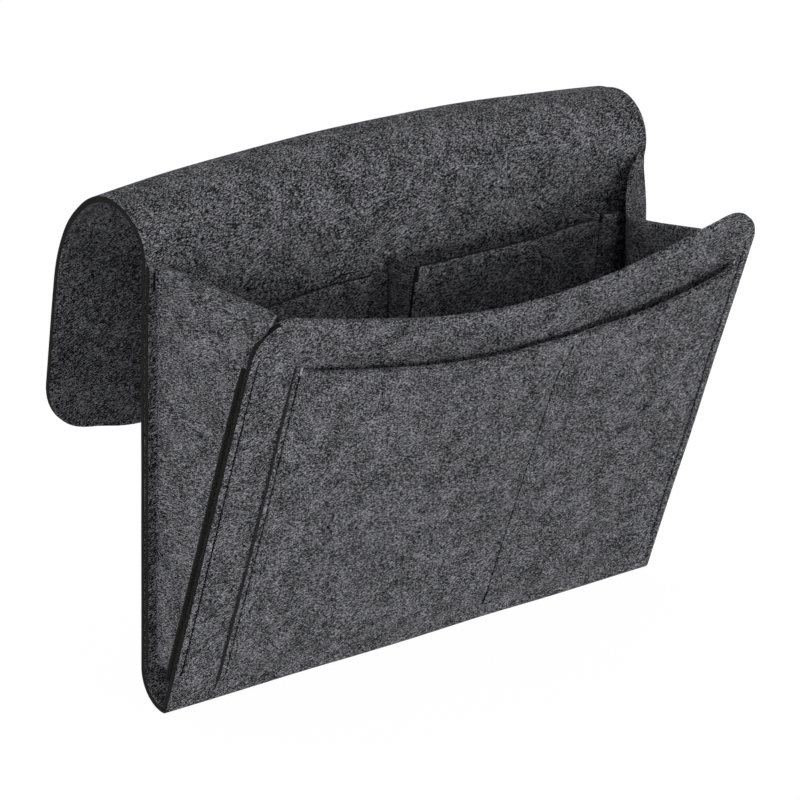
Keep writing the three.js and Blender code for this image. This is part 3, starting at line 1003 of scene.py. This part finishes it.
@dataclass
class SideGusset:
    """A side wall whose two flanges turn outwards, onto the back and behind the front."""

    shop: Workshop
    name: str
    side: int
    drop: float = 0.0
    tuck: float = 0.0
    flange: float = 7.5
    bend: float = 3.0
    foot: float = 20.5
    skew: float = 0.55
    sharpness: float = 1.6
    drop_reach: float = 0.2
    springs: bool = False
    spring_from: float = 206.0
    spring_share: float = 0.9
    splay: float = 1.8
    # width of the painted crevice shade on the front flange
    crevice: float = 3.2
    sprung_below: float = 8.0
    taper_from: float = 186.0
    taper_share: float = 0.4
    peak: float = 0.0
    trim: float = 0.0
    trim_from: float = 195.0
    folded_share: float = 0.345
    faces_front: float = -0.3
    tuck_stop: float = 2.3
    tuck_step: float = 0.02
    wall_step: float = 0.035
    row_steps: int = 50

    def front_y(self, z: float) -> float:
        """Gives y at the middle of the front flange's felt, at a height."""
        return (FELT + SEWN_GAP + FELT / 2 - z * math.sin(LEAN)) / math.cos(LEAN)

    def stops(self) -> list[float]:
        """Gives the stops along the felt, from the rear flange to the front one, closer at the tuck."""
        flanges = [*evenly(0, BEND_START, 4), *evenly(BEND_END, LAST_STOP, 4)]
        bends = [*evenly(BEND_START, WALL_START, 5), *evenly(WALL_END, BEND_END, 5)]
        tuck = spaced(WALL_START, self.tuck_stop, self.tuck_step)
        wall = spaced(self.tuck_stop, WALL_END, self.wall_step)
        return merged(flanges, bends, tuck, wall, near=SAME_SHARE)

    def inset_and_y(self, stop: float, z: float) -> tuple[float, float]:
        """Gives how far in from the panels' edge the felt is, and its y, at a stop and a height."""
        rear_flat = self.flange - self.bend
        front_y = self.front_y(z)
        if stop <= BEND_START:
            trimmed = self.trim * smoothstep(z, self.trim_from, BACK_HEIGHT + self.peak)
            return lerp(trimmed, rear_flat, stop), FLANGE_REAR
        if stop <= WALL_START:
            turn = (stop - BEND_START) * math.pi / 2
            return rear_flat + self.bend * math.sin(turn), FLANGE_REAR - self.bend * (1 - math.cos(turn))
        if stop <= WALL_END:
            share = stop - WALL_START
            swell = math.sin(math.pi * share**self.skew) ** self.sharpness if 0 < share < 1 else 0.0
            pushed = self.tuck * swell * (z - self.foot) / (BACK_HEIGHT - self.drop - self.foot)
            y = lerp(FLANGE_REAR - self.bend, front_y + self.bend, share)
            return self.flange + pushed, y
        flat = self.spring_share * smoothstep(z, self.spring_from, BACK_HEIGHT) if self.springs else 0.0
        full_turn = (1 - flat) * math.pi / 2
        radius = self.bend / (1 - flat)
        turn = full_turn * min(1.0, stop - WALL_END)
        inset = self.flange - radius * (1 - math.cos(turn))
        y = front_y + self.bend - radius * math.sin(turn)
        past = rear_flat * max(0.0, stop - BEND_END)
        opened = self.splay * (1 - flat) * max(0.0, stop - BEND_END) ** 2
        return inset - past * math.sin(full_turn), y - past * math.cos(full_turn) + opened

    def top(self, stop: float) -> float:
        """Gives the height of the top edge at a stop."""
        if stop <= WALL_START:
            return BACK_HEIGHT + self.peak * (1 - stop / WALL_START)
        wall_top = BACK_HEIGHT - self.drop
        if stop <= WALL_END:
            return BACK_HEIGHT - self.drop * smoothstep(stop - WALL_START, 0, self.drop_reach)
        if self.springs:
            return wall_top
        low = min(wall_top, (FRONT_LENGTH - CORNER) * math.cos(LEAN))
        return lerp(wall_top, low, (stop - WALL_END) / (LAST_STOP - WALL_END))

    def surface(self, stop: float, share: float) -> Vector:
        """Gives the gusset's Surface, at a stop and a share of the way from the foot to the top edge."""
        z = lerp(self.foot, self.top(stop), share)
        inset, y = self.inset_and_y(stop, z)
        return Vector((self.side * (HALF - inset), y, z))

    def thickness(self, stop: float, share: float) -> float:
        """Gives the share of the thickness that is left, less towards a sprung flange's top corner."""
        if not self.springs or stop < BEND_END:
            return 1.0
        z = lerp(self.foot, self.top(stop), share)
        tapered = smoothstep(z, self.taper_from, self.spring_from) * (stop - BEND_END)
        return lerp(1.0, self.taper_share, tapered)

    def build(self) -> Object:
        """Cuts the gusset and attaches it to the back."""
        piece = self.shop.cut_sheet(
            f"{self.name}_felt", self.stops(), evenly(0, 1, self.row_steps), self.surface,
            "folded", ["front_and_bottom_felt", "back_and_flap_felt"], self.thickness,
        )
        self._finish_edges(piece)
        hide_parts(self.name)
        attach(piece, Body.BACK.value)
        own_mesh(piece)
        return piece

    def _finish_edges(self, piece: Object) -> None:
        """Paints shade into the crevice behind the front's edge with the dark cut finish, and gives a lowered
        top or a sprung corner the face's felt.
        """
        for face in piece.data.polygons:
            place = face.center / MM + ROW_ORIGIN
            if self.drop and place.z > BACK_HEIGHT - self.drop - self.sprung_below:
                face.material_index = 0
            if place.y > FLANGE_REAR - self.flange:
                continue
            if self.springs and place.z > self.spring_from - self.sprung_below:
                face.material_index = 0
            # painted shade: the front flange's faces in the crevice take the dark cut finish
            elif abs(place.x) > HALF - self.crevice and face.normal.y < self.faces_front:
                face.material_index = 1


@dataclass
class OuterPocket:
    """The patch on the front, sewn at its sides, its foot and one divider, with a slack scooped mouth."""

    shop: Workshop
    left: float = -HALF + 28
    right: float = HALF - 10
    foot: float = 8.0
    top: float = 206.0
    scoop: float = 16.0
    bulge: float = 6.3
    bulge_power: float = 1.5
    swell_power: float = 0.3
    open_divider: float = 0.75
    open_from: float = 0.8
    open_clear: float = 30.0
    right_room: float = 113.5
    room_inset: float = 1.4 * SEAM_INSET
    side_pinch: float = 0.4
    side_pinch_reach: float = 1.6
    divider_pinch: float = 0.45
    rim: float = 0.7
    rim_reach: float = 6.0
    tack_rim: float = 0.35
    tack_rim_from: float = 1.5
    tack_reach: tuple[float, float] = (5.0, 45.0)
    foot_rim: float = 0.2
    foot_reach: float = 16.0
    edge_strip: float = 7.0
    divider_strip: float = 1.6
    divider_steps: int = 8
    hem_share: float = 0.1
    hem_steps: int = 10

    @property
    def divider(self) -> float:
        """Gives the place of the divider seam along the width."""
        return self.right - self.right_room

    def rooms(self) -> list[tuple[float, float]]:
        """Gives where each compartment starts and ends along the width."""
        return [
            (self.left + self.room_inset, self.divider - SEAM_INSET),
            (self.divider + SEAM_INSET, self.right - self.room_inset),
        ]

    def mouth(self, x: float) -> float:
        """Gives how far up the front the mouth's edge is."""
        middle = (self.left + self.right) / 2
        return self.top - self.scoop * math.cos((x - middle) / (self.right - middle) * math.pi / 2)

    def surface(self, x: float, row: float) -> Vector:
        """Gives the patch's Surface, at a place along the width and a share of the way up to the mouth."""
        up = lerp(self.foot, self.mouth(x), row)
        hem = self.foot + 2 * SEAM_INSET
        risen = max(0.0, up - hem) / (self.mouth(x) - hem)
        swell = 0.0
        rooms = self.rooms()
        for start, end in rooms:
            if start < x < end:
                swell = math.sin(math.pi * (x - start) / (end - start)) ** self.swell_power
        if rooms[0][0] + self.open_clear < x < rooms[1][1] - self.open_clear:
            swell = max(swell, self.open_divider * smoothstep(risen, self.open_from, 1.0))
        pressed = FELT / 2 * self.thickness(x, up)
        return front_point(x, up, LAYER_GAP + pressed + self.bulge * swell * risen**self.bulge_power)

    def thickness(self, x: float, up: float) -> float:
        """Gives the share of the thickness that is left where the seams press the patch flat."""
        to_side = min(x - self.left, self.right - x)
        side = seam_pinch(to_side - SEAM_INSET, self.side_pinch, self.side_pinch_reach)
        side = min(side, lerp(self.rim, 1.0, smoothstep(to_side, 0.0, self.rim_reach)))
        at_tack = 1 - smoothstep(self.mouth(x) - up, *self.tack_reach)
        tacked = lerp(self.tack_rim, 1.0, smoothstep(to_side, self.tack_rim_from, self.rim_reach))
        side = min(side, lerp(1.0, tacked, at_tack))
        foot = lerp(self.foot_rim, 1.0, smoothstep(up - self.foot, 0.0, self.foot_reach))
        divider = seam_pinch(abs(x - self.divider), self.divider_pinch)
        return min(side, foot, divider)

    def seams(self) -> dict[str, float]:
        """Gives the place of each upright seam along the width."""
        return {
            "left": self.left + SEAM_INSET,
            "divider": self.divider,
            "right": self.right - SEAM_INSET,
        }

    def build(self) -> Object:
        """Cuts the pocket and sews it to the front."""
        start, end = self.left + self.edge_strip, self.right - self.edge_strip
        sides = [spaced(self.left, start, FINE_STEP), spaced(end, self.right, FINE_STEP)]
        seam_ends = self.divider - self.divider_strip, self.divider + self.divider_strip
        seam = evenly(*seam_ends, self.divider_steps)
        columns = merged(spaced(start, end, WIDE_STEP), *sides, seam, near=NEAR_COLUMN)
        hem = evenly(0, self.hem_share, self.hem_steps)
        rows = merged(hem, spaced(self.hem_share, 1, WALL_SHARE), near=SAME_SHARE)

        def pinch(x: float, row: float) -> float:
            """Presses the felt flat along its sewn edges and the divider."""
            return self.thickness(x, lerp(self.foot, self.mouth(x), row))

        piece = self.shop.cut_sheet(
            "outer_pocket_felt", columns, rows, self.surface, "laid", ["front_and_bottom_felt"], pinch
        )
        # painted shade: the pocket's cut edges take the mid-dark pressed finish, partly the cut's own colour
        piece.data.materials[1] = self.shop.pressed
        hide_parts("outer_pocket")
        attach(piece, Body.FRONT.value)
        return piece


@dataclass
class InnerPocket:
    """A pocket on the back, whose ends are turned in under its own front and whose foot is a flat hem.

    With no depth at its right end, the wall comes back to the panel there and that end lies flat on it.
    """

    shop: Workshop
    name: str
    start: float
    end: float
    seam: float
    depth: float
    end_depth: float
    top: float
    comes_back: float
    rise: float = 0.0
    foot: float = 70.0
    hem: float = 9.0
    # reach of the painted shade, in the dark cut finish, along the turned-in corner's fold
    corner: float = 1.0
    ease: float = 0.6
    lip: float = 0.6
    lip_from: float = 0.9
    corner_stops: tuple[float, float] = (1.9, 2.022)
    corner_steps: int = 4

    @property
    def flat_end(self) -> bool:
        """Says whether the right end lies flat on the panel."""
        return self.end_depth == 0

    def stops(self) -> list[float]:
        """Gives the stops along the felt, from the turned-in start to the other end, closer at the corner."""
        ends = [*evenly(0, BEND_START, 8), *evenly(BEND_END, LAST_STOP, 8)]
        bends = [*evenly(BEND_START, WALL_START, 10), *evenly(WALL_END, BEND_END, 10)]
        before, after = self.corner_stops
        corner = evenly(before, WALL_START, self.corner_steps)
        corner += evenly(WALL_START, after, self.corner_steps)
        return merged(ends, bends, corner, spaced(WALL_START, WALL_END, WALL_SHARE), near=SAME_SHARE)

    def wall(self, x: float, row: float) -> float:
        """Gives y at the middle of the wall's felt, at a place along the width and a height."""
        hem_top = self.foot + self.hem
        open_share = max(0.0, row - hem_top) / (self.top - hem_top)
        turned_in = self.seam + FELT / 2
        eased = turned_in + self.ease * self.seam
        folded = FLANGE_REAR - FELT - LAYER_GAP
        down = smoothstep(x, self.start + turned_in, self.start + eased)
        if not self.flat_end:
            down -= smoothstep(x, self.end - eased, self.end - turned_in)
        returned = min(1.0, max(0.0, (x - self.end + self.comes_back) / self.comes_back))
        depth = lerp(self.depth, self.end_depth, (1 - math.cos(math.pi * returned)) / 2)
        return lerp(lerp(folded, FLANGE_REAR, down), min(FLANGE_REAR, BACK_FACE - depth), open_share)

    def surface(self, stop: float, share: float) -> Vector:
        """Gives the pocket's Surface, at a stop and a share of the way from the foot to the top edge."""
        x = lerp(self.start, self.end, min(1.0, max(0.0, stop - WALL_START)))
        if stop < BEND_START:
            x = lerp(self.start + self.seam, self.start, stop)
        elif stop > BEND_END:
            past_end = self.seam if self.flat_end else -self.seam
            x = lerp(self.end, self.end + past_end, stop - BEND_END)
        along = (x - self.start) / (self.end - self.start)
        row = lerp(self.foot, self.top + self.rise * along, share)
        if stop <= BEND_START or stop >= BEND_END:
            return Vector((x, FLANGE_REAR, row))
        out = min(1.0, stop - BEND_START, BEND_END - stop)
        return Vector((x, lerp(FLANGE_REAR, self.wall(x, row), out), row))

    def thickness(self, share: float) -> float:
        """Gives the share of the thickness that is left at a share of the way up, less at the top edge."""
        return lerp(1.0, self.lip, smoothstep(share, self.lip_from, 1.0))

    def build(self) -> Object:
        """Cuts the pocket and sews it to the back."""
        hem_share = self.hem / (self.top - self.foot)
        rows = merged(evenly(0, hem_share, 4), spaced(hem_share, 1, HEIGHT_SHARE), near=SAME_SHARE)
        piece = self.shop.cut_sheet(
            f"{self.name}_inner_pocket_felt", self.stops(), rows, self.surface,
            "folded", ["back_and_flap_felt"], lambda _, share: self.thickness(share), level_edges_as_face=False,
        )
        for face in piece.data.polygons:
            place = face.center / MM + ROW_ORIGIN
            place -= self.shop.settling.settle(place) - place
            half = FELT / 2 * self.thickness((place.z - self.foot) / (self.top - self.foot))
            outer_y = self.wall(self.start, place.z) - half
            to_corner = math.hypot(place.x - self.start + half, place.y - outer_y)
            in_wall = self.start < place.x < self.end and abs(place.y - self.wall(place.x, place.z)) < FELT
            # painted shade: the fold at the turned-in corner takes the dark cut finish as a dark line
            if to_corner < self.corner:
                face.material_index = 1
            elif not in_wall:
                face.material_index = 0
        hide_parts(f"{self.name}_inner_pocket")
        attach(piece, Body.BACK.value)
        return piece


@dataclass(frozen=True)
class Lamp:
    """A soft round lamp, with its place and size in metres and its power in watts."""

    name: str
    place: tuple[float, float, float]
    size: float
    power: float


@dataclass
class Studio:
    """The camera at the photograph's angle, a pale floor and soft light."""

    azimuth: float = math.radians(40.23)
    elevation: float = math.radians(20.74)
    roll: float = math.radians(1.63)
    distance: float = 2.040
    lens: float = 180.0
    target: Vector = field(default_factory=lambda: to_row(Vector((0, 0, 110))))
    shift: tuple[float, float] = (-0.0291, 0.0497)
    sensor: float = 36.0
    clipping: tuple[float, float] = (0.05, 50.0)
    lamps: tuple[Lamp, ...] = (
        Lamp("front_lamp", (0.2, -2.0, -0.05), 0.6, 14.0),
        Lamp("left_lamp", (-2.0, -0.6, -0.1), 0.4, 13.0),
    )
    floor_size: float = 40.0
    floor_below: float = 0.0012
    floor_glow: float = 1.14
    floor_shares: tuple[float, float] = (0.53, 0.33)  # of glow: more where it is seen, and for every ray
    sky_strengths: tuple[float, float] = (0.45, 0.55)  # more where it is seen, and for every ray

    def build(self) -> None:
        """Sets up the view, the floor, the lamps and the world."""
        scene = bpy.context.scene
        scene.view_settings.view_transform = "Standard"
        self._camera(scene)
        self._floor()
        self._lamps()
        self._world(scene)

    def _camera(self, scene: Scene) -> None:
        """Places the camera."""
        data = bpy.data.cameras.new("camera")
        camera = bpy.data.objects.new("camera", data)
        scene.collection.objects.link(camera)
        data.sensor_width = self.sensor
        data.lens = self.lens
        data.shift_x, data.shift_y = self.shift
        data.clip_start, data.clip_end = self.clipping
        level = math.cos(self.elevation)
        back = Vector(
            (-math.sin(self.azimuth) * level, -math.cos(self.azimuth) * level, math.sin(self.elevation))
        )
        right = Vector((0, 0, 1)).cross(back).normalized()
        up = back.cross(right)
        turned_right = right * math.cos(self.roll) + up * math.sin(self.roll)
        turned_up = back.cross(turned_right)
        pose = Matrix((turned_right, turned_up, back)).transposed().to_4x4()
        pose.translation = self.target + back * self.distance
        camera.matrix_world = pose
        scene.camera = camera

    def _floor(self) -> None:
        """Lays a white floor under the crease, which keeps a faint shadow."""
        bpy.ops.object.select_all(action="DESELECT")
        level = -ROW_ORIGIN.z * MM - self.floor_below
        bpy.ops.mesh.primitive_plane_add(size=self.floor_size, location=(0, 0, level))
        floor = bpy.context.object
        floor.name = "floor"
        bpy.ops.object.transform_apply(location=True, rotation=True, scale=True)
        material, tree, shader = new_material("white_floor", roughness=0.9)
        shader.inputs["Base Color"].default_value = linear("#808080")
        white = {"Color": linear("#ffffff"), "Strength": self.floor_glow}
        glow = add_node(tree, "ShaderNodeEmission", inputs=white)
        share = add_math(tree, "MULTIPLY_ADD", background_ray(tree), *self.floor_shares)
        mix = add_node(
            tree,
            "ShaderNodeMixShader",
            inputs={"0": share, "1": shader.outputs["BSDF"], "2": glow.outputs["Emission"]},
        )
        tree.links.new(mix.outputs["Shader"], tree.nodes["Material Output"].inputs["Surface"])
        floor.data.materials.append(material)
        floor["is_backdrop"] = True

    def _lamps(self) -> None:
        """Hangs two soft lamps, low at the front and at the left."""
        for each in self.lamps:
            data = bpy.data.lights.new(each.name, "AREA")
            data.shape = "DISK"
            data.size = each.size
            data.energy = each.power
            lamp = bpy.data.objects.new(each.name, data)
            bpy.context.scene.collection.objects.link(lamp)
            lamp.location = Vector(each.place)
            towards = self.target - lamp.location
            lamp.rotation_euler = towards.to_track_quat("-Z", "Y").to_euler()

    def _world(self, scene: Scene) -> None:
        """Sets a soft grey sky that the camera sees as white."""
        world = bpy.data.worlds.new("soft_sky")
        scene.world = world
        world.use_nodes = True
        tree = world.node_tree
        sky = tree.nodes["Background"]
        sky.inputs["Color"].default_value = (1.0, 1.0, 1.0, 1.0)
        strength = add_math(tree, "MULTIPLY_ADD", background_ray(tree), *self.sky_strengths)
        tree.links.new(strength, sky.inputs["Strength"])


@dataclass
class Seams:
    """All the sewing thread of the caddy."""

    shop: Workshop
    sheet: MainSheet
    pocket: OuterPocket
    gussets: Sequence[SideGusset]
    inner: Sequence[InnerPocket]
    pitch: float = 4.6
    stitch: float = 5.0
    thread: float = 1.3
    stand: float = 0.6
    tack_pitch: float = 0.85
    tack_width: float = 2.2
    pocket_tack_width: float = 0.8
    sunk: float = 0.6
    in_patch: float = -0.1
    in_divider: float = -1.0
    in_hem: float = 0.35
    tack_sunk: float = 0.15
    steps: int = 30
    inner_steps: int = 20
    front_shares: tuple[float, float] = (0.075, 0.94)
    below_gusset_top: float = 15.0
    gusset_tack_ends: tuple[float, float] = (12.0, 3.0)
    above_hem: float = 2.0
    below_mouth: float = 4.0
    pocket_tack_ends: tuple[float, float] = (3.0, -1.0)
    anchor_stop: float = 0.45
    end_stop: float = 4.55
    flat_hem_stop: float = 2.95

    def run(
        self, node: str, body: Body, surface: Surface, places: Sequence[tuple[float, float]], side: int,
        sunk: Callable[[float, float], float] | None = None,
    ) -> Object:
        """Sews one seam along a felt piece's face.

        Args:
            node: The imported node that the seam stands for.
            body: The body that it moves with.
            surface: The felt's surface.
            places: Columns and rows that the seam goes through.
            side: The face, as on_face takes it.
            sunk: How deep the thread lies at a column and a row, where the felt is pressed thinner.

        Returns:
            The seam's object.
        """
        path = [
            self.shop.on_face(surface, column, row, side, sunk(column, row) if sunk else self.sunk)
            for column, row in places
        ]
        seam = self.shop.sew(f"{node}_thread", path, self.pitch, self.stitch, self.thread, self.stand)
        return self._hand_over(seam, node, body)

    def tack(
        self, node: str, body: Body, surface: Surface, places: Sequence[tuple[float, float]], side: int
    ) -> Object:
        """Sews one short dense tack; the arguments and the result are those of run."""
        path = [self.shop.on_face(surface, column, row, side, self.tack_sunk) for column, row in places]
        width = self.pocket_tack_width if body is Body.FRONT else self.tack_width
        seam = self.shop.sew(
            f"{node}_thread", path, self.tack_pitch, width, self.thread, self.stand, crosswise=True
        )
        # the pocket's tacks take the pale thread, partly painted sheen
        if body is Body.FRONT:
            seam.data.materials[0] = self.shop.tack_thread
        return self._hand_over(seam, node, body)

    @staticmethod
    def _hand_over(seam: Object, node: str, body: Body) -> Object:
        """Lets a seam stand for its node and ride on its body."""
        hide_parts(node)
        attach(seam, body.value)
        return seam

    def build(self) -> list[Object]:
        """Sews every seam and tack."""
        return [*self._sides(), *self._outer(), *self._inner()]

    def _sides(self) -> list[Object]:
        """Sews the gussets to the front and the back."""
        sewn = []
        for gusset in self.gussets:
            side, face = ("left", 1) if gusset.side < 0 else ("right", -1)
            x = gusset.side * (HALF - FRONT_SEAM_INSET)
            front = [(x, -share) for share in spaced(*self.front_shares, HEIGHT_SHARE)]
            sewn.append(self.run(f"front_seam_{side}", Body.FRONT, self.sheet.lower_surface, front, -1))
            stop = SEAM_INSET / (gusset.flange - gusset.bend)
            height = BACK_HEIGHT - gusset.foot
            heights = evenly(SEAM_INSET, height - self.below_gusset_top, self.steps)
            rear = [(stop, up / height) for up in heights]
            sewn.append(self.run(f"back_seam_{side}", Body.BACK, gusset.surface, rear, face))
            tack = [(stop, (height - below) / height) for below in self.gusset_tack_ends]
            sewn.append(self.tack(f"gusset_tack_{side}", Body.BACK, gusset.surface, tack, face))
        return sewn

    def _outer(self) -> list[Object]:
        """Sews the outer pocket to the front."""
        sewn = []
        pocket = self.pocket

        def pressed(x: float, row: float) -> float:
            """Gives how deep under the drawn face the thread lies in the pressed patch."""
            up = lerp(pocket.foot, pocket.mouth(x), row)
            in_seam = self.in_divider if x == pocket.divider else self.in_patch
            in_felt = self.in_hem if up < pocket.foot + SEAM_INSET + 1 else in_seam
            return in_felt + (1 - pocket.thickness(x, up)) * FELT / 2

        ends = pocket.seams()
        for name, x in ends.items():
            length = pocket.mouth(x) - pocket.foot
            low, high = (SEAM_INSET + self.above_hem) / length, 1 - self.below_mouth / length
            rise = [(x, row) for row in evenly(low, high, self.steps)]
            sewn.append(self.run(f"pocket_seam_{name}", Body.FRONT, pocket.surface, rise, 1, pressed))
            bar = [(x, 1 - below / length) for below in self.pocket_tack_ends]
            sewn.append(self.tack(f"pocket_tack_{name}", Body.FRONT, pocket.surface, bar, 1))
        xs = evenly(ends["left"], ends["right"], 2 * self.steps)
        foot = [(x, SEAM_INSET / (pocket.mouth(x) - pocket.foot)) for x in xs]
        sewn.append(self.run("pocket_seam_foot", Body.FRONT, pocket.surface, foot, 1, pressed))
        return sewn

    def _inner(self) -> list[Object]:
        """Sews the inner pockets to the back."""
        sewn = []
        for pocket in self.inner:
            length = pocket.top - pocket.foot
            high = 1 - SEAM_INSET / length
            low = pocket.hem / length
            half_way = (low + high) / 2
            end_low, end_face = (low, 1) if pocket.flat_end else (half_way, -1)
            anchor = [(self.anchor_stop, row) for row in evenly(half_way, high, self.inner_steps // 2)]
            end = [(self.end_stop, row) for row in evenly(end_low, high, self.inner_steps)]
            clear = (2 * pocket.seam + FELT / 2) / (pocket.end - pocket.start)
            last = self.flat_hem_stop if pocket.flat_end else WALL_END - clear
            hem = [(stop, low / 2) for stop in evenly(WALL_START + clear, last, self.inner_steps)]
            for kind, places, face in (("anchor", anchor, -1), ("end", end, end_face), ("hem", hem, 1)):
                node = f"inner_{kind}_seam_{pocket.name}"
                sewn.append(self.run(node, Body.BACK, pocket.surface, places, face))
        return sewn


def main() -> None:
    """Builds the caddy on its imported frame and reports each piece."""
    logging.basicConfig(level=logging.INFO, format="%(name)s: %(message)s")
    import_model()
    cad_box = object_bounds()
    Studio().build()
    shop = Workshop()
    sheet = MainSheet(shop)
    gussets = [
        SideGusset(shop, "left_gusset", -1, springs=True),
        SideGusset(shop, "right_gusset", 1, drop=23.0, tuck=20.0, peak=6.5, trim=4.0),
    ]
    pocket = OuterPocket(shop)
    inner = [
        InnerPocket(
            shop, "left", start=-149.5, end=-21.5, seam=8.0, depth=20.0, end_depth=0.0, top=200.0,
            comes_back=125.0, rise=-2.0,
        ),
        InnerPocket(
            shop, "middle", start=-10.2, end=116.5, seam=8.0, depth=22.0, end_depth=14.0, top=205.8,
            comes_back=60.0,
        ),
        InnerPocket(
            shop, "right", start=122.0, end=142.0, seam=5.0, depth=12.2, end_depth=0.0, top=206.8,
            comes_back=10.0, corner=0.6,
        ),
    ]
    made = sheet.build()
    made += [gusset.build() for gusset in gussets]
    made.append(pocket.build())
    made += [each.build() for each in inner]
    made += Seams(shop, sheet, pocket, gussets, inner).build()
    shop.dispose()
    for piece in made:
        LOG.info("%s: %d faces", piece.name, len(piece.data.polygons))
    boxes = {"cad": cad_box, "visual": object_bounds()}
    {name: [list(low), list(high)] for name, (low, high) in boxes.items()}


if __name__ == "__main__":
    main()
